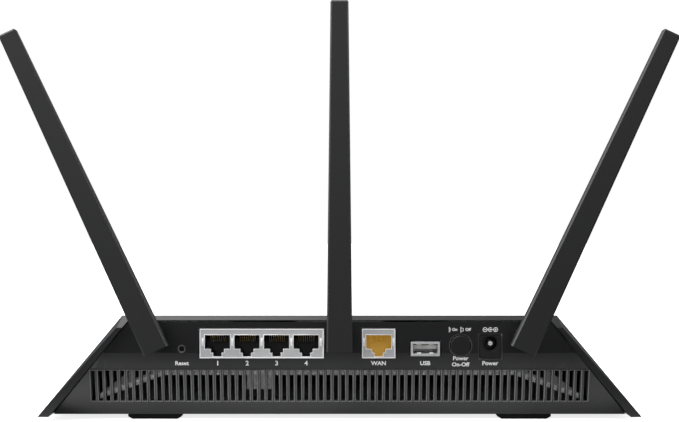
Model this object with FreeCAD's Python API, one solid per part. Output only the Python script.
"""Desktop wireless router with three detachable, swivelling and folding blade aerials.

Frame: +X to the right for someone who looks at the socket side, +Y from the socket side towards
the nose, +Z up. The origin is the middle of the standing footprint's box, on the table.
All lengths are in millimetres and all angles are in degrees.
"""

import FreeCAD
import Part
import math
import os

V = FreeCAD.Vector
X_AXIS = V(1, 0, 0)
Y_AXIS = V(0, 1, 0)
Z_AXIS = V(0, 0, 1)

# ---------------------------------------------------------------- driving dimensions: housing
BODY_WIDTH = 285.0
BODY_DEPTH = 184.5
BODY_HEIGHT = 50.0          # table to the top edge at the socket side
FOOT_HEIGHT = 2.4
SIDE_LEAN = 0.825           # sideways run of a flank for each millimetre of rise
TOP_FALL = 5.0              # the deck falls towards the nose by this angle
CHAMFER_DROP = 5.5          # height and depth of the bright chamfer over the socket side
FACET_WIDTH = 2.6           # small facet at each rear corner, measured on the rim
FACET_DEPTH = 6.0
NOSE_LENGTH = 36.0          # the steep part of the nose, measured along Y
NOSE_LIP_HEIGHT = 17.0      # height of the foremost edge
NOSE_UNDERCUT = 9.0         # how far the lip's lower side runs back
FRONT_CORNER_CUT = 24.0     # corner facet of the nose, measured on the floor along X
TOP_WALL = 2.3
SIDE_WALL = 2.4
RIM_WALL = 4.0              # the flank's thickness around the socket side
RIM_DEPTH = 16.0            # how far that thickness runs in from the rim
FLOOR_WALL = 2.2
SHELL_GAP = 0.4             # between two mouldings of the housing
PANEL_TOP_GAP = 0.9         # shadow gap over the socket panel

# ---------------------------------------------------------------- driving dimensions: socket panel
PANEL_RECESS = 3.0          # rim plane to the panel's upper face
PANEL_WALL = 2.2
PANEL_CREASE = 32.4         # height of the crease; the panel leans in below it
PANEL_LEAN = 16.0
SLOT_COUNT = 68
SLOT_PITCH = 3.5
SLOT_WIDTH = 2.0            # at the outer face
SLOT_DRAFT = 0.3            # each slot wall closes in by this much through the panel
SLOT_LOW = 9.0
SLOT_HIGH = 23.8
CUT_GAP = 0.3               # panel cut-out to the socket that stands in it
CUT_DRAFT = 0.45            # flare of each cut-out at the outer face

# ---------------------------------------------------------------- driving dimensions: main board
BOARD_WIDTH = 210.0
BOARD_THICKNESS = 1.6
BOARD_TOP = 29.6
BOARD_END = 146.0           # rim plane to the board's front edge
BOSS_R = 4.5
BOSS_NECK_R = 2.75
BOSS_PILOT_R = 1.25
SCREW_R = 1.2
SCREW_HEAD_R = 2.6
SCREW_HEAD_HEIGHT = 1.8
SCREW_LENGTH = 8.0
FIT = 0.05                  # running or seating clearance on a radius

# board fixings: (x, distance from the rim plane); the seated ones also carry the heat plate
EDGE_FIXINGS = [(-98.0, 40.0), (98.0, 40.0), (-98.0, 138.0), (98.0, 138.0)]
SEATED_FIXINGS = [(0.0, 47.0), (0.0, 112.0), (-60.0, 112.0), (60.0, 112.0)]

# ---------------------------------------------------------------- driving dimensions: heat plate
PLATE_THICKNESS = 2.4
PLATE_BOTTOM = 20.7
PLATE_FLAT = 84.0           # half width of the level part
PLATE_REACH = 115.0         # half width over the drooping wings
PLATE_DROOP = 20.0
PLATE_START = 15.5
PLATE_END = 124.0
FOAM_SIZE = (12.0, 12.0, 6.8)
FOAM_X = -38.5

# ---------------------------------------------------------------- driving dimensions: sockets
SOCKET_PROUD = 0.5          # sockets stand this far out of the panel
SHEET = 0.4                 # drawn metal of the socket cans
LAN_PORTS = 4
LAN_PITCH = 13.97
LAN_CENTRE = -36.75
LAN_WIDTH = 58.7
LAN_BOTTOM = 29.9
LAN_TOP = 43.8
LAN_DEPTH = 21.5
PORT_WIDTH = 12.2
PORT_TOP = 41.0
PORT_BOTTOM = 34.2
PORT_STEP_WIDTH = 6.6
PORT_STEP_DROP = 1.8
PORT_KEY_WIDTH = 4.3
PORT_KEY_DROP = 1.8
PORT_DEPTH = 14.0
CONTACTS_PER_PORT = 8
CONTACT_PITCH = 1.02
CONTACT_WIDTH = 0.5
CONTACT_THICKNESS = 0.3
WAN_CENTRE = 18.55
WAN_WIDTH = 15.7
USB_CENTRE = 40.6
USB_WIDTH = 13.8
USB_BOTTOM = 30.9
USB_HEIGHT = 6.8
USB_DEPTH = 14.5
USB_SHEET = 0.5
USB_TONGUE = (11.0, 10.5, 1.9)
POWER_JACK_CENTRE = 71.35
POWER_JACK_WIDTH = 9.7
POWER_JACK_BOTTOM = 30.1
POWER_JACK_TOP = 40.7
POWER_JACK_DEPTH = 13.5
POWER_HOLE_Z = 36.9
POWER_MOUTH_R = 4.06
POWER_MOUTH_DEPTH = 1.2
POWER_BORE_R = 3.2
POWER_BORE_DEPTH = 10.5
POWER_PIN_R = 1.05
POWER_PIN_SETBACK = 1.0

# ---------------------------------------------------------------- driving dimensions: controls
POWER_BUTTON_X = 57.3
POWER_BUTTON_Z = 35.9
POWER_BUTTON_R = 4.75
POWER_BUTTON_PROUD = 0.6
POWER_TRAVEL = 2.5
POWER_FLANGE = 0.9          # the button's inner flange, thickness and overhang
POWER_STEM = 4.0
SWITCH_SIZE = (9.0, 12.0)
RESET_X = -74.7
RESET_Z = 34.3
RESET_HOLE_R = 1.4
RESET_PLUNGER_R = 1.0
RESET_TRAVEL = 0.4
RESET_BODY = (6.0, 6.5)
KEY_X = 18.0                # the two deck keys stand at plus and minus this
KEY_Y = 122.0
KEY_SIZE = (12.0, 6.0)
KEY_PROUD = 0.5
KEY_TRAVEL = 0.5
KEY_FLANGE = 1.0
MOVING_GAP = 0.3            # between pieces that move past each other
TACT_SIZE = 6.0
TACT_HEIGHT = 3.5
LAMP_COUNT = 10
LAMP_PITCH = 12.0
LAMP_Y = 138.0
LAMP_WINDOW = (6.0, 1.6)
LAMP_SIZE = (1.6, 0.8, 0.8)
GUIDE_BAR = (4.0, 1.8)      # depth and thickness of the clear bar over the lamps

# ---------------------------------------------------------------- driving dimensions: aerials
AERIAL_HEIGHT = 40.5        # aerial socket axis above the table
AERIAL_SPREAD = 87.0
AERIAL_TILT = 25.1          # the outer two lean outwards by this angle
BLADE_LENGTH = 162.0
BLADE_BASE = (12.0, 6.5)
BLADE_TIP = (8.3, 5.5)
BLADE_CHAMFER = 0.7
BLADE_HEEL = 6.0            # how far the blade reaches past its hinge
BLADE_WALL = 1.4
PIVOT_REACH = 18.2          # panel face to the folding axis
PIVOT_OFFSET = 0.4          # folding axis to the blade's middle plane
HEEL_SWEEP = 6.2            # the heel's rounded corner, measured from the folding axis
PIN_R = 0.8
PIN_LENGTH = 10.4
TONGUE_WIDTH = 4.4
TONGUE_R = 2.0
RADIATOR_THICKNESS = 1.0
RADIATOR_START = 12.0
RADIATOR_LENGTH = 110.0
JACK_R = 3.17
JACK_OUT = 7.6
JACK_BORE_R = 2.4
JACK_BORE_DEPTH = 4.6
JACK_FLANGE_R = 4.7
JACK_FLANGE_LENGTH = 2.2
JACK_TAIL_R = 1.8
JACK_TAIL_LENGTH = 6.0
WASHER_R = 5.1
WASHER_THICKNESS = 0.6
HEX_ACROSS = 8.0
HEX_LENGTH = 2.0
NUT_R = 4.7
NUT_START = 2.9
NUT_END = 10.3
NUT_END_WALL = 1.5
NUT_GRIPS = 12
NUT_GRIP_R = 0.45
STEM_R = 2.3
COLLAR_R = 4.3
COLLAR_LENGTH = 1.0
FERRULE_R = 2.1
FERRULE_LENGTH = 3.6

# ---------------------------------------------------------------- driving dimensions: coax leads
LEAD_R = 0.9
LEAD_RISE = 2.2             # lead axis over the board at its plug
LEAD_PLUG_SIZE = (3.2, 4.0, 3.4)
# end of each lead on the board: (x, distance from the rim plane)
LEAD_ENDS = [(-80.0, 54.0), (34.0, 62.0), (91.0, 54.0)]

# ---------------------------------------------------------------- driving dimensions: case and feet
POST_X = 122.0
POST_YS = (32.0, 120.0)
POST_R = 3.5
CASE_SCREW_R = 1.4
CASE_SCREW_HEAD_R = 2.8
CASE_SCREW_HEAD_HEIGHT = 1.6
CASE_SCREW_LENGTH = 10.0
FOOT_X = 88.35
FOOT_SIZE = (25.7, 14.0)
FOOT_TAPER = 2.1            # each end is cut back below by this much
FOOT_YS = (19.0, 152.0)
KEYHOLE_SPACING = 150.0
KEYHOLE_Y = 92.0
KEYHOLE_R = 4.0
KEYHOLE_SLOT_R = 2.1
KEYHOLE_SLOT_LENGTH = 9.0
VENT_COUNT = 12
VENT_PITCH = 5.0
VENT_SIZE = (2.2, 62.0)
VENT_X = 40.0
VENT_Y = 34.0
FLOOR_VENT_Y = 52.0
FLOOR_VENT_LENGTH = 26.0

# ---------------------------------------------------------------- derived places
BIG = 4.0 * BODY_WIDTH
AERIAL_OUT = PIVOT_REACH + PIVOT_OFFSET + BLADE_BASE[1] / 2 - PANEL_RECESS
RIM = (AERIAL_OUT - BODY_DEPTH) / 2        # y of the rim plane
FRONT = RIM + BODY_DEPTH
FACE = RIM + PANEL_RECESS                  # y of the panel's upper face
PANEL_BACK = FACE + PANEL_WALL
FLOOR_TOP = FOOT_HEIGHT + FLOOR_WALL
BOARD_BOTTOM = BOARD_TOP - BOARD_THICKNESS
PLATE_TOP = PLATE_BOTTOM + PLATE_THICKNESS
SOCKET_FACE = FACE - SOCKET_PROUD
SIDE_NORMAL = V(1, 0, SIDE_LEAN)
SIDE_WALL_ACROSS = math.hypot(1, SIDE_LEAN)  # level thickness of a flank for each mm of wall


def deck_height(y):
    """Height of the deck's upper face at y."""
    return BODY_HEIGHT - (y - RIM - CHAMFER_DROP) * math.tan(math.radians(TOP_FALL))


# ---------------------------------------------------------------- small helpers
def box(x0, x1, y0, y1, z0, z1):
    """Box between two corners."""
    return Part.makeBox(x1 - x0, y1 - y0, z1 - z0, V(x0, y0, z0))


def block(cx, cy, z0, size_x, size_y, size_z):
    """Box that stands on z0, centred on (cx, cy)."""
    return box(cx - size_x / 2, cx + size_x / 2, cy - size_y / 2, cy + size_y / 2, z0, z0 + size_z)


def rod(radius, start, end):
    """Round bar between two points."""
    return Part.makeCylinder(radius, (end - start).Length, start, end - start)


def tube(outer, inner, start, end):
    """Round tube between two points."""
    return rod(outer, start, end).cut(rod(inner, start, end))


def polygon_prism(points, direction):
    """Prism over a closed outline."""
    return Part.Face(Part.makePolygon(points + [points[0]])).extrude(direction)


def half_space(point, normal, inset):
    """Everything behind a plane that is moved inwards by inset."""
    unit = V(normal).normalize()
    solid = Part.makeBox(BIG, BIG, BIG, V(-BIG / 2, -BIG / 2, -BIG))
    solid.Placement = FreeCAD.Placement(point - unit * inset, FreeCAD.Rotation(Z_AXIS, unit))
    return solid


def stadium(cx, cy, z0, length, width, height):
    """Upright prism with two straight sides and two round ends, long along X."""
    radius = width / 2
    middle = (length - width) / 2
    solid = box(cx - middle, cx + middle, cy - radius, cy + radius, z0, z0 + height)
    for side in (-1, 1):
        end = V(cx + side * middle, cy, z0)
        solid = solid.fuse(rod(radius, end, end + V(0, 0, height)))
    return solid.removeSplitter()


def group(solids):
    """Several separate solids in one node."""
    return Part.makeCompound(solids)


def write(name, shape):
    """Writes one node."""
    shape.exportStep("parts/" + name + ".step")


# ---------------------------------------------------------------- housing envelope
def envelope(top, side, front, open_rear, open_floor):
    """The housing's outer form, each face moved inwards by its wall.

    open_rear and open_floor leave that side of the form unbounded, for use as a cavity.
    """
    lean = V(SIDE_NORMAL).normalize()
    foot = FOOT_HEIGHT
    half = BODY_WIDTH / 2
    nose_top = deck_height(FRONT - NOSE_LENGTH)
    nose_drop = nose_top - NOSE_LIP_HEIGHT
    lip = V(0, FRONT, NOSE_LIP_HEIGHT)
    planes = [
        (V(0, RIM + CHAMFER_DROP, BODY_HEIGHT),
         V(0, math.tan(math.radians(TOP_FALL)), 1), top),
        (lip, V(0, nose_drop, NOSE_LENGTH), top),
        (lip, V(0, NOSE_LIP_HEIGHT - foot, -NOSE_UNDERCUT), front),
    ]
    for sign in (-1, 1):
        corner = V(sign * (half - FRONT_CORNER_CUT), FRONT - NOSE_UNDERCUT, foot)
        planes.append((V(sign * half, 0, foot), V(sign * lean.x, 0, lean.z), side))
        planes.append((corner, V(sign * lean.x, lean.x, lean.z), front))
    if not open_rear:
        crease = BODY_HEIGHT - CHAMFER_DROP
        edge = half - (crease - foot) * SIDE_LEAN
        planes.append((V(0, RIM, 0), V(0, -1, 0), 0))
        planes.append((V(0, RIM, crease), V(0, -1, 1), 0))
        for sign in (-1, 1):
            inner = V(sign * (edge - FACET_WIDTH), RIM, crease)
            outer = V(sign * edge, RIM + FACET_DEPTH, crease)
            low = V(sign * half, RIM, foot)
            normal = (outer - inner).cross(low - inner) * -sign
            planes.append((low, normal, 0))
    floor = -BODY_HEIGHT if open_floor else foot
    rear = RIM - BODY_HEIGHT
    solid = box(-BODY_WIDTH, BODY_WIDTH, rear, FRONT + 1, floor, BODY_HEIGHT + 1)
    for point, normal, inset in planes:
        solid = solid.common(half_space(point, normal, inset))
    return solid


def mouth(gap, top_gap):
    """The form that fits inside the rim around the socket side, with a gap."""
    return envelope(TOP_WALL + top_gap, RIM_WALL + gap, RIM_WALL + gap, True, False)


# ---------------------------------------------------------------- top cover
def top_cover():
    """Deck, flanks and nose in one moulding, open below and at the socket side."""
    outer = envelope(0, 0, 0, False, False)
    wide = envelope(TOP_WALL, SIDE_WALL, SIDE_WALL, True, True)
    narrow = envelope(TOP_WALL, RIM_WALL, SIDE_WALL, True, True)
    step = RIM + RIM_DEPTH
    front_part = box(-BIG, BIG, step, BIG, -BIG, BIG)
    shell = outer.cut(wide.common(front_part)).cut(narrow)
    for x in (-POST_X, POST_X):
        for y in POST_YS:
            foot = V(x, RIM + y, FLOOR_TOP + SHELL_GAP)
            post = rod(POST_R, foot, V(x, RIM + y, BODY_HEIGHT))
            shell = shell.fuse(post.common(outer))
    for x in (-POST_X, POST_X):
        for y in POST_YS:
            foot = V(x, RIM + y, 0)
            shell = shell.cut(rod(CASE_SCREW_R + FIT, foot, foot + V(0, 0, case_screw_tip())))
    return shell.cut(group(deck_cuts())).removeSplitter()


def deck_cuts():
    """Vents, key holes and lamp windows of the deck."""
    low = BOARD_TOP
    cuts = []
    for side in (-1, 1):
        for i in range(VENT_COUNT):
            x = side * (VENT_X + i * VENT_PITCH)
            cuts.append(block(x, RIM + VENT_Y + VENT_SIZE[1] / 2, low, VENT_SIZE[0], VENT_SIZE[1],
                              BODY_HEIGHT))
        cuts.append(stadium(side * KEY_X, RIM + KEY_Y, low, KEY_SIZE[0] + 2 * MOVING_GAP,
                            KEY_SIZE[1] + 2 * MOVING_GAP, BODY_HEIGHT))
    for x in lamp_places():
        cuts.append(block(x, RIM + LAMP_Y, low, LAMP_WINDOW[0], LAMP_WINDOW[1], BODY_HEIGHT))
    return cuts


def lamp_places():
    """x of each status lamp."""
    first = -LAMP_PITCH * (LAMP_COUNT - 1) / 2
    return [first + i * LAMP_PITCH for i in range(LAMP_COUNT)]


def case_screw_tip():
    """Height of the case screws' tips."""
    return FOOT_HEIGHT + CASE_SCREW_HEAD_HEIGHT + CASE_SCREW_LENGTH


# ---------------------------------------------------------------- socket panel
def panel_face(z):
    """y of the panel's outer face at a height."""
    below = max(0.0, PANEL_CREASE - z)
    return FACE + below * math.tan(math.radians(PANEL_LEAN))


def panel_back(z):
    """y of the panel's inner face at a height."""
    return panel_face(z) + PANEL_WALL / math.cos(math.radians(PANEL_LEAN))


def rear_panel():
    """Upright above the crease, leaning in below it, with slots and socket cut-outs."""
    top = BODY_HEIGHT
    low = FOOT_HEIGHT
    across = PANEL_WALL / math.cos(math.radians(PANEL_LEAN))
    shift = PANEL_WALL * math.tan(math.radians(PANEL_LEAN) / 2)
    outline = [
        V(-BODY_WIDTH, FACE, top),
        V(-BODY_WIDTH, FACE, PANEL_CREASE),
        V(-BODY_WIDTH, panel_face(low), low),
        V(-BODY_WIDTH, panel_face(low) + across, low),
        V(-BODY_WIDTH, PANEL_BACK, PANEL_CREASE - shift),
        V(-BODY_WIDTH, PANEL_BACK, top),
    ]
    slab = polygon_prism(outline, V(2 * BODY_WIDTH, 0, 0))
    panel = slab.common(mouth(SHELL_GAP, PANEL_TOP_GAP))
    return panel.cut(group(slot_cuts() + socket_cuts())).removeSplitter()


def slot_cuts():
    """One drafted cutter for each slot, square to the leaning face."""
    middle = (SLOT_LOW + SLOT_HIGH) / 2
    half_w = SLOT_WIDTH / 2
    half_h = (SLOT_HIGH - SLOT_LOW) / 2 / math.cos(math.radians(PANEL_LEAN))
    extra = 1.0                                # the cutter runs this far past both faces
    slope = SLOT_DRAFT / PANEL_WALL
    out_w = half_w + extra * slope
    out_h = half_h + extra * slope
    in_w = half_w - (PANEL_WALL + extra) * slope
    in_h = half_h - (PANEL_WALL + extra) * slope
    cuts = []
    for i in range(SLOT_COUNT):
        x = (i - (SLOT_COUNT - 1) / 2) * SLOT_PITCH
        cutter = Part.makeWedge(-out_w, -extra, -out_h, -in_h, -in_w,
                                out_w, PANEL_WALL + extra, out_h, in_h, in_w)
        turn = FreeCAD.Rotation(X_AXIS, PANEL_LEAN)
        cutter.Placement = FreeCAD.Placement(V(x, panel_face(middle), middle), turn)
        cuts.append(cutter)
    return cuts


def flared_rectangle(cx, width, low, high):
    """Rectangular cut-out that widens towards the outer face."""
    half = width / 2 + CUT_GAP
    middle = (low + high) / 2
    tall = (high - low) / 2 + CUT_GAP
    flare = Part.makeWedge(-half - CUT_DRAFT, 0, -tall - CUT_DRAFT, -tall, -half,
                           half + CUT_DRAFT, CUT_DRAFT, tall + CUT_DRAFT, tall, half)
    flare.translate(V(cx, FACE, middle))
    through = box(cx - half, cx + half, FACE - 1, PANEL_BACK + 1, middle - tall, middle + tall)
    return flare.fuse(through)


def flared_hole(x, z, radius):
    """Round cut-out with a small countersink at the outer face."""
    start = V(x, FACE, z)
    sink = Part.makeCone(radius + CUT_DRAFT, radius, CUT_DRAFT, start, Y_AXIS)
    return sink.fuse(rod(radius, start - V(0, 1, 0), start + V(0, PANEL_WALL + 1, 0)))


def socket_cuts():
    """Every cut-out in the upper part of the panel."""
    cuts = [
        flared_rectangle(LAN_CENTRE, LAN_WIDTH, LAN_BOTTOM, LAN_TOP),
        flared_rectangle(WAN_CENTRE, WAN_WIDTH, LAN_BOTTOM, LAN_TOP),
        flared_rectangle(USB_CENTRE, USB_WIDTH, USB_BOTTOM, USB_BOTTOM + USB_HEIGHT),
        flared_rectangle(POWER_JACK_CENTRE, POWER_JACK_WIDTH, POWER_JACK_BOTTOM, POWER_JACK_TOP),
        flared_hole(POWER_BUTTON_X, POWER_BUTTON_Z, POWER_BUTTON_R + MOVING_GAP),
        flared_hole(RESET_X, RESET_Z, RESET_HOLE_R),
    ]
    for x in aerial_places():
        start = V(x, FACE - 1, AERIAL_HEIGHT)
        cuts.append(rod(JACK_R + FIT, start, start + V(0, PANEL_WALL + 2, 0)))
    return cuts


# ---------------------------------------------------------------- bottom case
def bottom_case():
    """Floor with board bosses, stiffening walls, wall-mount keyholes and vents."""
    inside = envelope(TOP_WALL, SIDE_WALL + SHELL_GAP, SIDE_WALL + SHELL_GAP, True, False)
    across = PANEL_WALL / math.cos(math.radians(PANEL_LEAN))
    start = panel_face(FOOT_HEIGHT) + across + SHELL_GAP
    rim_part = mouth(SHELL_GAP, SHELL_GAP)
    split = RIM + RIM_DEPTH
    floor = inside.common(box(-BIG, BIG, split, BIG, FOOT_HEIGHT, FLOOR_TOP))
    floor = floor.fuse(rim_part.common(box(-BIG, BIG, start, split, FOOT_HEIGHT, FLOOR_TOP)))
    ring_top = FLOOR_TOP + 6.0
    ring = inside.common(box(-BIG, BIG, split, BIG, FLOOR_TOP, ring_top))
    deep = SIDE_WALL + SHELL_GAP + FLOOR_WALL
    ring = ring.cut(envelope(TOP_WALL, deep, deep, True, True))
    case = floor.fuse(ring)
    for x, y in EDGE_FIXINGS + SEATED_FIXINGS:
        case = case.fuse(board_boss(x, RIM + y, (x, y) in SEATED_FIXINGS))
    cuts = []
    for x, y in EDGE_FIXINGS + SEATED_FIXINGS:
        top = V(x, RIM + y, BOARD_BOTTOM)
        cuts.append(rod(BOSS_PILOT_R, top - V(0, 0, SCREW_LENGTH), top + V(0, 0, 1)))
    for x in (-POST_X, POST_X):
        for y in POST_YS:
            cuts.append(rod(POST_R + SHELL_GAP, V(x, RIM + y, FLOOR_TOP), V(x, RIM + y, BODY_HEIGHT)))
            foot = V(x, RIM + y, FOOT_HEIGHT)
            cuts.append(rod(CASE_SCREW_R + FIT, foot, V(x, RIM + y, BODY_HEIGHT)))
            cuts.append(rod(CASE_SCREW_HEAD_R + FIT, foot, foot + V(0, 0, CASE_SCREW_HEAD_HEIGHT)))
    cuts += keyhole_cuts()
    cuts += floor_vents()
    return case.cut(group(cuts)).removeSplitter()


def board_boss(x, y, seated):
    """Boss under a board fixing; a seated one has a shoulder for the heat plate."""
    foot = V(x, y, FLOOR_TOP)
    if not seated:
        return rod(BOSS_R, foot, V(x, y, BOARD_BOTTOM))
    shoulder = V(x, y, PLATE_BOTTOM)
    return rod(BOSS_R, foot, shoulder).fuse(rod(BOSS_NECK_R, shoulder, V(x, y, BOARD_BOTTOM)))


def keyhole_cuts():
    """Two keyholes for wall screws; the narrow ends point towards the nose."""
    cuts = []
    for x in (-KEYHOLE_SPACING / 2, KEYHOLE_SPACING / 2):
        start = V(x, RIM + KEYHOLE_Y, FOOT_HEIGHT)
        end = start + V(0, KEYHOLE_SLOT_LENGTH, 0)
        rise = V(0, 0, FLOOR_WALL)
        cuts.append(rod(KEYHOLE_R, start, start + rise))
        cuts.append(rod(KEYHOLE_SLOT_R, end, end + rise))
        cuts.append(box(x - KEYHOLE_SLOT_R, x + KEYHOLE_SLOT_R, start.y, end.y, start.z,
                        start.z + FLOOR_WALL))
    return cuts


def floor_vents():
    """A row of long vents in the floor, clear of the board bosses."""
    cuts = []
    for i in range(2 * VENT_COUNT):
        x = (i - VENT_COUNT + 0.5) * VENT_PITCH
        if min(abs(x - fixing[0]) for fixing in SEATED_FIXINGS) > BOSS_R + VENT_SIZE[0]:
            cuts.append(block(x, RIM + FLOOR_VENT_Y, FOOT_HEIGHT, VENT_SIZE[0],
                              FLOOR_VENT_LENGTH, FLOOR_WALL))
    return cuts


def rubber_feet():
    """Four glued feet, narrower below."""
    feet = []
    wide, deep = FOOT_SIZE
    for x in (-FOOT_X, FOOT_X):
        for y in FOOT_YS:
            low = wide / 2 - FOOT_TAPER
            middle = FOOT_HEIGHT / 2
            outline = [V(-low, 0, 0), V(low, 0, 0), V(wide / 2, 0, middle),
                       V(wide / 2, 0, FOOT_HEIGHT), V(-wide / 2, 0, FOOT_HEIGHT),
                       V(-wide / 2, 0, middle)]
            foot = polygon_prism(outline, V(0, deep, 0))
            foot.translate(V(x, RIM + y - deep / 2, 0))
            feet.append(foot)
    return group(feet)


# ---------------------------------------------------------------- board and what stands on it
def main_board():
    """Green board with fixing holes."""
    start = panel_back(BOARD_BOTTOM) + SHELL_GAP
    board = box(-BOARD_WIDTH / 2, BOARD_WIDTH / 2, start, RIM + BOARD_END, BOARD_BOTTOM, BOARD_TOP)
    holes = []
    for x, y in EDGE_FIXINGS + SEATED_FIXINGS:
        foot = V(x, RIM + y, BOARD_BOTTOM)
        holes.append(rod(SCREW_R + 0.2, foot, foot + V(0, 0, BOARD_THICKNESS)))
    return board.cut(group(holes))


def pan_screw(tip, direction, radius, length, head_r, head_height):
    """Pan-head screw with a cross recess; tip is the end of the thread."""
    seat = tip - direction * length
    end = seat - direction * head_height
    screw = rod(radius, tip, seat).fuse(rod(head_r, seat, end))
    arm = head_r * 0.6
    deep = head_height * 0.6
    slot = radius * 0.35
    bottom = min(end.z, end.z + direction.z * deep)
    cross = block(end.x, end.y, bottom, 2 * arm, 2 * slot, deep)
    cross = cross.fuse(block(end.x, end.y, bottom, 2 * slot, 2 * arm, deep))
    return screw.cut(cross)


def board_screws():
    """One screw in each board fixing, driven from above."""
    screws = []
    for x, y in EDGE_FIXINGS + SEATED_FIXINGS:
        tip = V(x, RIM + y, BOARD_TOP - SCREW_LENGTH)
        screws.append(pan_screw(tip, V(0, 0, -1), SCREW_R, SCREW_LENGTH, SCREW_HEAD_R,
                                SCREW_HEAD_HEIGHT))
    return group(screws)


def case_screws():
    """Four screws up through the floor into the cover's posts."""
    screws = []
    for x in (-POST_X, POST_X):
        for y in POST_YS:
            screws.append(pan_screw(V(x, RIM + y, case_screw_tip()), Z_AXIS, CASE_SCREW_R,
                                    CASE_SCREW_LENGTH, CASE_SCREW_HEAD_R, CASE_SCREW_HEAD_HEIGHT))
    return group(screws)


def heat_plate():
    """Bent aluminium sheet under the board: level in the middle, with drooping wings."""
    drop = (PLATE_REACH - PLATE_FLAT) * math.tan(math.radians(PLATE_DROOP))
    outline = [
        V(-PLATE_REACH, 0, PLATE_BOTTOM - drop), V(-PLATE_FLAT, 0, PLATE_BOTTOM),
        V(PLATE_FLAT, 0, PLATE_BOTTOM), V(PLATE_REACH, 0, PLATE_BOTTOM - drop),
        V(PLATE_REACH, 0, PLATE_TOP - drop), V(PLATE_FLAT, 0, PLATE_TOP),
        V(-PLATE_FLAT, 0, PLATE_TOP), V(-PLATE_REACH, 0, PLATE_TOP - drop),
    ]
    plate = polygon_prism(outline, V(0, PLATE_END - PLATE_START, 0))
    plate.translate(V(0, RIM + PLATE_START, 0))
    for x, y in SEATED_FIXINGS:
        plate = plate.cut(rod(BOSS_NECK_R + FIT, V(x, RIM + y, 0), V(x, RIM + y, BODY_HEIGHT)))
    for x, y in EDGE_FIXINGS:
        plate = plate.cut(rod(BOSS_R + MOVING_GAP, V(x, RIM + y, 0), V(x, RIM + y, BODY_HEIGHT)))
    return plate


def foam_pad():
    """White foam block glued under the heat plate."""
    wide, deep, tall = FOAM_SIZE
    return block(FOAM_X, RIM + PLATE_START + deep / 2, PLATE_BOTTOM - tall, wide, deep, tall)


def processor_heatsink():
    """Finned heatsink that stands on the processor."""
    base_z = BOARD_TOP + 1.6
    centre_y = RIM + 78.0
    sink = block(0, centre_y, base_z, 46.0, 40.0, 2.0)
    for i in range(12):
        x = (i - 5.5) * 4.0
        sink = sink.fuse(block(x, centre_y, base_z, 1.2, 40.0, 7.4))
    return sink.removeSplitter()


def board_chips():
    """Processor, memory, flash, switch and power chips."""
    places = [
        (0, 78, 23, 23, 1.6), (-34, 72, 12, 9, 1.2), (-34, 86, 12, 9, 1.2), (34, 88, 9, 12, 1.2),
        (-36, 48, 14, 14, 1.4), (44, 40, 6, 5, 1.2), (52, 54, 5, 5, 1.0), (-36, 128, 7, 7, 1.2),
    ]
    return group([block(x, RIM + y, BOARD_TOP, w, d, h) for x, y, w, d, h in places])


def radio_shields():
    """Two drawn cans over the radio sections, open below."""
    cans = []
    for x in (-76.0, 76.0):
        can = block(x, RIM + 84.0, BOARD_TOP, 40.0, 44.0, 4.5)
        cans.append(can.cut(block(x, RIM + 84.0, BOARD_TOP, 39.2, 43.2, 4.1)))
    return group(cans)


def capacitors():
    """Electrolytic cans of the power stage."""
    cans = []
    for x, y, radius, height in ((60, 30, 4, 9), (70, 30, 4, 9), (80, 30, 4, 9), (56, 42, 3.15, 7)):
        foot = V(x, RIM + y, BOARD_TOP)
        cans.append(rod(radius, foot, foot + V(0, 0, height)))
    return group(cans)


def inductors():
    """Square power inductors with a round core."""
    coils = []
    for x in (68.0, 80.0):
        coil = block(x, RIM + 43.0, BOARD_TOP, 7.0, 7.0, 2.8)
        foot = V(x, RIM + 43.0, BOARD_TOP + 2.8)
        coils.append(coil.fuse(rod(2.6, foot, foot + V(0, 0, 0.8))))
    return group(coils)


def line_transformers():
    """Black transformer modules behind the network sockets."""
    return group([block(x, RIM + 32.0, BOARD_TOP, w, 8.0, 5.5)
                  for x, w in ((-50.0, 26.0), (-22.0, 26.0), (WAN_CENTRE, 16.0))])


# ---------------------------------------------------------------- network sockets
def port_outline(cx, gap):
    """Closed outline of one plug opening, with the stepped slot for the plug's latch."""
    half = PORT_WIDTH / 2 + gap
    step = PORT_STEP_WIDTH / 2 + gap
    key = PORT_KEY_WIDTH / 2 + gap
    low = PORT_BOTTOM - gap
    mid = low - PORT_STEP_DROP
    end = mid - PORT_KEY_DROP
    top = PORT_TOP + gap
    side = [(half, top), (half, low), (step, low), (step, mid), (key, mid), (key, end)]
    right = [V(cx + x, 0, z) for x, z in side]
    left = [V(cx - x, 0, z) for x, z in reversed(side)]
    return right + left


def port_prism(cx, gap, start, depth):
    """Solid that fills one plug opening."""
    prism = polygon_prism(port_outline(cx, gap), V(0, depth, 0))
    prism.translate(V(0, start, 0))
    return prism


def lan_places():
    """x of each LAN port."""
    return [LAN_CENTRE + (i - (LAN_PORTS - 1) / 2) * LAN_PITCH for i in range(LAN_PORTS)]


def socket_can(cx, width, ports):
    """Drawn can around a network socket, open at the back, with its plug openings in front."""
    half = width / 2
    can = box(cx - half, cx + half, SOCKET_FACE, SOCKET_FACE + LAN_DEPTH, LAN_BOTTOM, LAN_TOP)
    can = can.cut(box(cx - half + SHEET, cx + half - SHEET, SOCKET_FACE + SHEET,
                      SOCKET_FACE + LAN_DEPTH, LAN_BOTTOM + SHEET, LAN_TOP - SHEET))
    for x in ports:
        can = can.cut(port_prism(x, 0, SOCKET_FACE - 1, 2))
    return can


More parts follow.
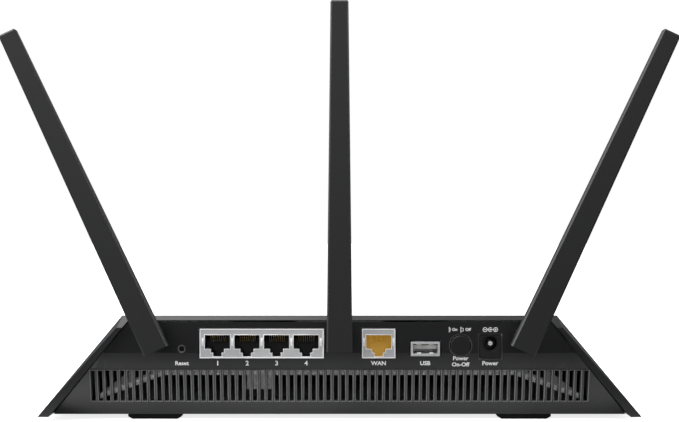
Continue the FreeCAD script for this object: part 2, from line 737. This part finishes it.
def socket_insert(cx, width, ports):
    """Moulded body inside a socket can, with one cavity for each plug."""
    half = width / 2 - SHEET - FIT
    start = SOCKET_FACE + SHEET + FIT
    insert = box(cx - half, cx + half, start, SOCKET_FACE + LAN_DEPTH - 1,
                 LAN_BOTTOM + SHEET + FIT, LAN_TOP - SHEET - FIT)
    for x in ports:
        insert = insert.cut(port_prism(x, FIT, start, PORT_DEPTH))
    return insert


def jack_contacts():
    """Sprung wires across the top of every plug cavity."""
    front = SOCKET_FACE + 2.0
    back = SOCKET_FACE + SHEET + PORT_DEPTH - 0.3
    high = PORT_TOP - 0.2
    low = PORT_TOP - 2.0
    t = CONTACT_THICKNESS
    outline = [V(0, front, high), V(0, back, low), V(0, back, low - t), V(0, front, high - t)]
    wires = []
    for cx in lan_places() + [WAN_CENTRE]:
        for i in range(CONTACTS_PER_PORT):
            wire = polygon_prism(outline, V(CONTACT_WIDTH, 0, 0))
            offset = (i - (CONTACTS_PER_PORT - 1) / 2) * CONTACT_PITCH
            wire.translate(V(cx + offset - CONTACT_WIDTH / 2, 0, 0))
            wires.append(wire)
    return group(wires)


# ---------------------------------------------------------------- other sockets and switches
def usb_shell():
    """Drawn shell of the USB socket, open in front, with a rolled lip."""
    z0 = USB_BOTTOM
    half = USB_WIDTH / 2
    lip = 0.6
    shell = box(USB_CENTRE - half + lip, USB_CENTRE + half - lip, SOCKET_FACE,
                SOCKET_FACE + USB_DEPTH, z0 + lip, z0 + USB_HEIGHT - lip)
    flange = box(USB_CENTRE - half, USB_CENTRE + half, SOCKET_FACE, SOCKET_FACE + lip, z0,
                 z0 + USB_HEIGHT)
    inner = lip + USB_SHEET
    hollow = box(USB_CENTRE - half + inner, USB_CENTRE + half - inner, SOCKET_FACE - 1,
                 SOCKET_FACE + USB_DEPTH - USB_SHEET, z0 + inner, z0 + USB_HEIGHT - inner)
    foot = box(USB_CENTRE - half + inner, USB_CENTRE + half - inner, PANEL_BACK + 1,
               SOCKET_FACE + USB_DEPTH, BOARD_TOP, z0 + inner)
    return shell.fuse(flange).fuse(foot).cut(hollow)


def usb_tongue():
    """Tongue with four contact strips."""
    wide, deep, thick = USB_TONGUE
    back = SOCKET_FACE + USB_DEPTH - USB_SHEET
    middle = USB_BOTTOM + USB_HEIGHT / 2 + 0.7
    tongue = box(USB_CENTRE - wide / 2, USB_CENTRE + wide / 2, back - deep, back,
                 middle - thick / 2, middle + thick / 2)
    for i in range(4):
        x = USB_CENTRE + (i - 1.5) * 2.3
        tongue = tongue.fuse(box(x - 0.5, x + 0.5, back - deep + 1, back, middle - thick / 2 - 0.15,
                                 middle))
    return tongue


def power_jack_body():
    """Block with a flared round mouth and the plug's bore."""
    half = POWER_JACK_WIDTH / 2
    body = box(POWER_JACK_CENTRE - half, POWER_JACK_CENTRE + half, SOCKET_FACE,
               SOCKET_FACE + POWER_JACK_DEPTH, BOARD_TOP, POWER_JACK_TOP)
    face = V(POWER_JACK_CENTRE, SOCKET_FACE, POWER_HOLE_Z)
    ledge = box(POWER_JACK_CENTRE - half, POWER_JACK_CENTRE + half, SOCKET_FACE,
                panel_back(BOARD_TOP) + MOVING_GAP, BOARD_TOP - 1, POWER_JACK_BOTTOM)
    flat_r = min(POWER_MOUTH_R, POWER_JACK_TOP - POWER_HOLE_Z - 0.3)
    mouth_cut = rod(POWER_MOUTH_R, face, face + V(0, POWER_MOUTH_DEPTH, 0))
    mouth_cut = mouth_cut.common(box(-BIG, BIG, -BIG, BIG, -BIG, POWER_HOLE_Z + flat_r))
    bore = rod(POWER_BORE_R, face, face + V(0, POWER_BORE_DEPTH, 0))
    return body.cut(ledge).cut(mouth_cut).cut(bore)


def power_jack_pin():
    """Centre pin of the power socket."""
    start = V(POWER_JACK_CENTRE, SOCKET_FACE + POWER_PIN_SETBACK, POWER_HOLE_Z)
    end = V(POWER_JACK_CENTRE, SOCKET_FACE + POWER_BORE_DEPTH, POWER_HOLE_Z)
    return rod(POWER_PIN_R, start, end)


def power_button():
    """Round cap with an inner flange and a square stem."""
    face = V(POWER_BUTTON_X, FACE - POWER_BUTTON_PROUD, POWER_BUTTON_Z)
    flange = V(POWER_BUTTON_X, power_flange_start(), POWER_BUTTON_Z)
    back = flange + V(0, POWER_FLANGE, 0)
    cap = rod(POWER_BUTTON_R, face, flange)
    cap = cap.makeFillet(0.4, [e for e in cap.Edges if abs(e.CenterOfMass.y - face.y) < 0.01])
    cap = cap.fuse(rod(POWER_BUTTON_R + POWER_FLANGE, flange, back))
    end = power_switch_start() + 3.0
    half = POWER_STEM / 2
    stem = box(face.x - half, face.x + half, back.y, end, face.z - half, face.z + half)
    return cap.fuse(stem)


def power_flange_start():
    """y at which the power button's flange begins, clear of the leaning part of the panel."""
    return panel_back(POWER_BUTTON_Z - POWER_BUTTON_R - POWER_FLANGE) + MOVING_GAP


def power_switch_start():
    """y of the power switch's rear face."""
    return power_flange_start() + POWER_FLANGE + POWER_TRAVEL + MOVING_GAP


def power_switch_body():
    """Latching switch with a square well for the button's stem."""
    wide, deep = SWITCH_SIZE
    start = power_switch_start()
    top = POWER_BUTTON_Z + wide / 2
    half = POWER_STEM / 2 + MOVING_GAP
    body = box(POWER_BUTTON_X - wide / 2, POWER_BUTTON_X + wide / 2, start, start + deep,
               BOARD_TOP, top)
    well = 3.0 + POWER_TRAVEL + MOVING_GAP
    return body.cut(box(POWER_BUTTON_X - half, POWER_BUTTON_X + half, start, start + well,
                        POWER_BUTTON_Z - half, POWER_BUTTON_Z + half))


def reset_switch_body():
    """Small side-pressed switch behind the reset hole."""
    wide, deep = RESET_BODY
    start = PANEL_BACK + 1.6
    body = box(RESET_X - wide / 2, RESET_X + wide / 2, start, start + deep, BOARD_TOP,
               RESET_Z + 2.2)
    well = 2.0 + RESET_TRAVEL + MOVING_GAP
    hole = V(RESET_X, start, RESET_Z)
    return body.cut(rod(RESET_PLUNGER_R + FIT, hole, hole + V(0, well, 0)))


def reset_plunger():
    """Plunger of the reset switch, reached with a thin pin."""
    start = V(RESET_X, PANEL_BACK + 0.4, RESET_Z)
    end = V(RESET_X, PANEL_BACK + 1.6 + 2.0, RESET_Z)
    return rod(RESET_PLUNGER_R, start, end)


def key_ceiling():
    """Height of the deck's inner face at the keys' rear side, where it is used as a stop."""
    wall = TOP_WALL / math.cos(math.radians(TOP_FALL))
    return deck_height(RIM + KEY_Y + KEY_SIZE[1]) - wall - MOVING_GAP


def deck_key(side):
    """Oval key in the deck, with a flange under it and a stem down to its switch."""
    x = side * KEY_X
    y = RIM + KEY_Y
    flange_top = key_ceiling()
    cap = stadium(x, y, flange_top - KEY_FLANGE, KEY_SIZE[0], KEY_SIZE[1], BODY_HEIGHT)
    deck = half_space(V(0, y, deck_height(y) + KEY_PROUD),
                      V(0, math.tan(math.radians(TOP_FALL)), 1), 0)
    cap = cap.common(deck)
    flange = stadium(x, y, flange_top - KEY_FLANGE, KEY_SIZE[0] + 2, KEY_SIZE[1] + 2, KEY_FLANGE)
    stem_end = BOARD_TOP + TACT_HEIGHT + KEY_TRAVEL + MOVING_GAP
    stem = rod(1.5, V(x, y, stem_end), V(x, y, flange_top - KEY_FLANGE))
    return cap.fuse(flange).fuse(stem).removeSplitter()


def front_switches():
    """Two tact switches under the deck keys."""
    switches = []
    for side in (-1, 1):
        foot = V(side * KEY_X, RIM + KEY_Y, BOARD_TOP)
        body = block(foot.x, foot.y, BOARD_TOP, TACT_SIZE, TACT_SIZE, TACT_HEIGHT - 0.8)
        switches.append(body.fuse(rod(1.7, foot, foot + V(0, 0, TACT_HEIGHT))))
    return group(switches)


def status_leds():
    """One lamp under each window."""
    wide, deep, tall = LAMP_SIZE
    return group([block(x, RIM + LAMP_Y, BOARD_TOP, wide, deep, tall) for x in lamp_places()])


def light_guide():
    """Clear bar over the lamps with one pip for each window and two feet."""
    deep, thick = GUIDE_BAR
    bar_z = BOARD_TOP + LAMP_SIZE[2] + MOVING_GAP
    reach = lamp_places()[-1] + LAMP_WINDOW[0] / 2 + 1
    y = RIM + LAMP_Y
    guide = block(0, y, bar_z, 2 * reach, deep, thick)
    for x in lamp_places():
        pip = block(x, y, bar_z, LAMP_WINDOW[0] - 2 * FIT, LAMP_WINDOW[1] - 2 * FIT, BODY_HEIGHT)
        guide = guide.fuse(pip)
    for side in (-1, 1):
        guide = guide.fuse(block(side * (reach - 1), y, BOARD_TOP, 2, deep, thick))
    deck = half_space(V(0, y, deck_height(y)), V(0, math.tan(math.radians(TOP_FALL)), 1), 0)
    return guide.common(deck).removeSplitter()


# ---------------------------------------------------------------- aerial sockets and leads
def aerial_places():
    """x of each aerial socket, left to right."""
    return (-AERIAL_SPREAD, 0.0, AERIAL_SPREAD)


def aerial_tilts():
    """Rest tilt of each aerial about +Y."""
    return (-AERIAL_TILT, 0.0, AERIAL_TILT)


def on_panel(shape, x):
    """Moves a shape made around an aerial socket's axis to its place on the panel."""
    moved = shape.copy()
    moved.translate(V(x, FACE, AERIAL_HEIGHT))
    return moved


def along(y):
    """Point on an aerial socket's axis."""
    return V(0, y, 0)


def hexagon(across, start, length):
    """Hexagonal bar on the socket's axis."""
    radius = across / math.sqrt(3)
    points = [V(radius * math.cos(math.radians(60 * i)), start, radius * math.sin(math.radians(60 * i)))
              for i in range(6)]
    return polygon_prism(points, V(0, length, 0))


def antenna_jacks():
    """Threaded aerial sockets that pass through the panel."""
    tail_start = PANEL_WALL + JACK_FLANGE_LENGTH
    jack = rod(JACK_R, along(-JACK_OUT), along(PANEL_WALL))
    jack = jack.fuse(rod(JACK_FLANGE_R, along(PANEL_WALL), along(tail_start)))
    jack = jack.fuse(rod(JACK_TAIL_R, along(tail_start), along(tail_start + JACK_TAIL_LENGTH)))
    jack = jack.cut(rod(JACK_BORE_R, along(-JACK_OUT), along(-JACK_OUT + JACK_BORE_DEPTH)))
    return group([on_panel(jack, x) for x in aerial_places()])


def jack_washers():
    """Flat washers under the panel nuts."""
    washer = tube(WASHER_R, JACK_R + FIT, along(-WASHER_THICKNESS), along(0))
    return group([on_panel(washer, x) for x in aerial_places()])


def jack_nuts():
    """Hexagonal nuts that clamp the aerial sockets."""
    start = -WASHER_THICKNESS - HEX_LENGTH
    nut = hexagon(HEX_ACROSS, start, HEX_LENGTH)
    nut = nut.cut(rod(JACK_R + FIT, along(start), along(-WASHER_THICKNESS)))
    return group([on_panel(nut, x) for x in aerial_places()])


def lead_start():
    """y at which each coax lead leaves its socket's tail."""
    return PANEL_BACK + JACK_FLANGE_LENGTH + JACK_TAIL_LENGTH


def lead_points(index):
    """Corner points of one lead's route: level off the socket, down, and level into its plug."""
    end_x, end_y = LEAD_ENDS[index]
    start_x = aerial_places()[index]
    low = BOARD_TOP + LEAD_RISE
    plug_y = RIM + end_y - LEAD_PLUG_SIZE[1] / 2
    start = V(start_x, lead_start(), AERIAL_HEIGHT)
    run = (plug_y - start.y) / 3
    return [start, start + V(0, run, 0), V(end_x, plug_y - run, low), V(end_x, plug_y, low)]


def rounded_path(points):
    """Wire of straight runs joined by tangent arcs as large as the runs allow."""
    edges = []
    here = points[0]
    for i in range(1, len(points) - 1):
        before = points[i] - points[i - 1]
        after = points[i + 1] - points[i]
        turn = before.getAngle(after)
        cut = 0.45 * min(before.Length, after.Length)
        u = V(before).normalize()
        w = V(after).normalize()
        arc_start = points[i] - u * cut
        arc_end = points[i] + w * cut
        radius = cut / math.tan(turn / 2)
        inward = (w - u).normalize()
        centre = points[i] + inward * (radius / math.cos(turn / 2))
        middle = centre - inward * radius
        edges.append(Part.LineSegment(here, arc_start).toShape())
        edges.append(Part.Arc(arc_start, middle, arc_end).toShape())
        print("lead bend radius", round(radius, 1))
        here = arc_end
    edges.append(Part.LineSegment(here, points[-1]).toShape())
    return Part.Wire(edges)


def coax_lead(index):
    """One coax lead, swept along its route."""
    points = lead_points(index)
    path = rounded_path(points)
    profile = Part.Wire([Part.makeCircle(LEAD_R, points[0], Y_AXIS)])
    lead = path.makePipeShell([profile], True, False)
    print("lead length", round(path.Length, 1), "volume ratio",
          round(lead.Volume / (math.pi * LEAD_R ** 2 * path.Length), 4))
    return lead


def coax_plugs():
    """Small plugs that press the leads' ends onto the board."""
    wide, deep, tall = LEAD_PLUG_SIZE
    plugs = []
    for x, y in LEAD_ENDS:
        plugs.append(block(x, RIM + y, BOARD_TOP, wide, deep, tall))
    return group(plugs)


# ---------------------------------------------------------------- aerials
def place_aerial(shape, index):
    """Leans a shape that was made upright on the socket's axis and moves it to its socket."""
    leant = shape.copy()
    leant.rotate(V(0, 0, 0), Y_AXIS, aerial_tilts()[index])
    return on_panel(leant, aerial_places()[index])


def coupling_nut():
    """Knurled nut, captive on the aerial's stem."""
    nut = rod(NUT_R, along(-NUT_END), along(-NUT_START))
    nut = nut.cut(rod(JACK_R + FIT, along(-NUT_END + NUT_END_WALL), along(-NUT_START)))
    nut = nut.cut(rod(STEM_R + FIT, along(-NUT_END), along(-NUT_START)))
    grips = []
    for i in range(NUT_GRIPS):
        angle = math.radians(360 * i / NUT_GRIPS)
        offset = V(NUT_R * math.cos(angle), 0, NUT_R * math.sin(angle))
        grips.append(rod(NUT_GRIP_R, along(-NUT_END - 1) + offset, along(-NUT_START - 1) + offset))
    return nut.cut(group(grips))


def knuckle():
    """Stem, collar and folding tongue in one turned and milled piece."""
    wall_inside = -NUT_END + NUT_END_WALL + MOVING_GAP
    flange_end = -JACK_OUT - MOVING_GAP
    collar_start = -NUT_END - MOVING_GAP
    collar_end = collar_start - COLLAR_LENGTH
    piece = rod(STEM_R, along(collar_start), along(flange_end))
    piece = piece.fuse(rod(JACK_R - MOVING_GAP, along(wall_inside), along(flange_end)))
    piece = piece.fuse(rod(FERRULE_R, along(flange_end), along(flange_end + FERRULE_LENGTH)))
    piece = piece.fuse(rod(COLLAR_R, along(collar_end), along(collar_start)))
    half = TONGUE_WIDTH / 2
    pivot = -PIVOT_REACH
    piece = piece.fuse(box(-half, half, pivot, collar_start, -TONGUE_R, TONGUE_R))
    piece = piece.fuse(rod(TONGUE_R, V(-half, pivot, 0), V(half, pivot, 0)))
    return piece.cut(rod(PIN_R + FIT, V(-half, pivot, 0), V(half, pivot, 0)))


def hinge_pin():
    """Pin through the blade's cheeks and the tongue."""
    return rod(PIN_R, V(-PIN_LENGTH / 2, -PIVOT_REACH, 0), V(PIN_LENGTH / 2, -PIVOT_REACH, 0))


def section(width, thickness, chamfer, z):
    """Level outline of the blade: a rectangle with chamfered corners."""
    x = width / 2
    y = thickness / 2
    middle = -PIVOT_REACH - PIVOT_OFFSET
    corners = [
        (x - chamfer, -y), (x, -y + chamfer), (x, y - chamfer), (x - chamfer, y),
        (-x + chamfer, y), (-x, y - chamfer), (-x, -y + chamfer), (-x + chamfer, -y),
    ]
    points = [V(px, middle + py, z) for px, py in corners]
    return Part.makePolygon(points + [points[0]])


def blade_size(z):
    """Width and thickness of the blade at a height over its hinge."""
    share = (z + BLADE_HEEL) / BLADE_LENGTH
    return [base + (tip - base) * share for base, tip in zip(BLADE_BASE, BLADE_TIP)]


def blade_solid(low, high, inset_x, inset_y, chamfer):
    """Tapered bar between two heights, smaller than the blade by an inset on each side."""
    wires = []
    for z in (low, high):
        width, thickness = blade_size(z)
        wires.append(section(width - 2 * inset_x, thickness - 2 * inset_y, chamfer, z))
    return Part.makeLoft(wires, True, True)


def blade():
    """The whole blade before it is split into its two shells."""
    tip = BLADE_LENGTH - BLADE_HEEL
    body = blade_solid(-BLADE_HEEL, tip - BLADE_CHAMFER, 0, 0, BLADE_CHAMFER)
    width, thickness = blade_size(tip - BLADE_CHAMFER)
    end_width, end_thickness = blade_size(tip)
    small = 2 * BLADE_CHAMFER * 0.6
    cap = Part.makeLoft([
        section(width, thickness, BLADE_CHAMFER, tip - BLADE_CHAMFER),
        section(end_width - small, end_thickness - small, BLADE_CHAMFER * 0.6, tip),
    ], True, True)
    body = body.fuse(cap)
    wall = BLADE_WALL
    hollow = blade_solid(RADIATOR_START - 2, tip - 2 * wall, wall, wall, BLADE_CHAMFER * 0.5)
    body = body.cut(hollow)
    half = TONGUE_WIDTH / 2 + MOVING_GAP
    reach = TONGUE_R + MOVING_GAP
    body = body.cut(box(-half, half, -PIVOT_REACH - reach, 0, -2 * BLADE_HEEL, reach))
    body = body.cut(rod(PIN_R + FIT / 2, V(-PIN_LENGTH / 2 - FIT, -PIVOT_REACH, 0),
                        V(PIN_LENGTH / 2 + FIT, -PIVOT_REACH, 0)))
    corner = box(-BIG, BIG, -PIVOT_REACH, 0, -2 * BLADE_HEEL, 0)
    keep = rod(HEEL_SWEEP, V(-BLADE_BASE[0], -PIVOT_REACH, 0), V(BLADE_BASE[0], -PIVOT_REACH, 0))
    return body.cut(corner.cut(keep))


def blade_shell(whole, rear):
    """Rear or front half of a blade."""
    middle = -PIVOT_REACH - PIVOT_OFFSET
    if rear:
        return whole.common(box(-BIG, BIG, -BIG, middle, -BIG, BIG))
    return whole.common(box(-BIG, BIG, middle, BIG, -BIG, BIG))


def radiator():
    """Thin printed radiator that follows the blade's taper."""
    top = RADIATOR_START + RADIATOR_LENGTH
    bar = blade_solid(RADIATOR_START, top, BLADE_WALL + MOVING_GAP, BLADE_WALL + MOVING_GAP, 0.2)
    half = RADIATOR_THICKNESS / 2
    middle = -PIVOT_REACH - PIVOT_OFFSET
    return bar.common(box(-BIG, BIG, middle - half, middle + half, -BIG, BIG))


def main():
    """Builds and writes every node."""
    os.makedirs("parts", exist_ok=True)
    lan = lan_places()
    nodes = {
        "top_cover": top_cover(),
        "rear_panel": rear_panel(),
        "bottom_case": bottom_case(),
        "rubber_feet": rubber_feet(),
        "case_screws": case_screws(),
        "main_board": main_board(),
        "board_screws": board_screws(),
        "heat_plate": heat_plate(),
        "foam_pad": foam_pad(),
        "processor_heatsink": processor_heatsink(),
        "board_chips": board_chips(),
        "radio_shields": radio_shields(),
        "capacitors": capacitors(),
        "inductors": inductors(),
        "line_transformers": line_transformers(),
        "lan_jack_shell": socket_can(LAN_CENTRE, LAN_WIDTH, lan),
        "lan_jack_insert": socket_insert(LAN_CENTRE, LAN_WIDTH, lan),
        "wan_jack_shell": socket_can(WAN_CENTRE, WAN_WIDTH, [WAN_CENTRE]),
        "wan_jack_insert": socket_insert(WAN_CENTRE, WAN_WIDTH, [WAN_CENTRE]),
        "jack_contacts": jack_contacts(),
        "usb_shell": usb_shell(),
        "usb_tongue": usb_tongue(),
        "power_jack_body": power_jack_body(),
        "power_jack_pin": power_jack_pin(),
        "power_button": power_button(),
        "power_switch_body": power_switch_body(),
        "reset_switch_body": reset_switch_body(),
        "reset_plunger": reset_plunger(),
        "wifi_button": deck_key(-1),
        "sync_button": deck_key(1),
        "front_switches": front_switches(),
        "status_leds": status_leds(),
        "light_guide": light_guide(),
        "antenna_jacks": antenna_jacks(),
        "jack_washers": jack_washers(),
        "jack_nuts": jack_nuts(),
        "coax_plugs": coax_plugs(),
    }
    upright = {
        "coupling_nut": coupling_nut(),
        "knuckle": knuckle(),
        "hinge_pin": hinge_pin(),
        "blade_rear_shell": blade_shell(blade(), True),
        "blade_front_shell": blade_shell(blade(), False),
        "radiator": radiator(),
    }
    for index, side in enumerate(("left", "centre", "right")):
        nodes["coax_lead_" + side] = coax_lead(index)
        for name, shape in upright.items():
            nodes[name + "_" + side] = place_aerial(shape, index)
    for name, shape in nodes.items():
        if not shape.isValid():
            print("not valid:", name)
        write(name, shape)
    print(len(nodes), "nodes; rim plane at y", round(RIM, 3))


main()
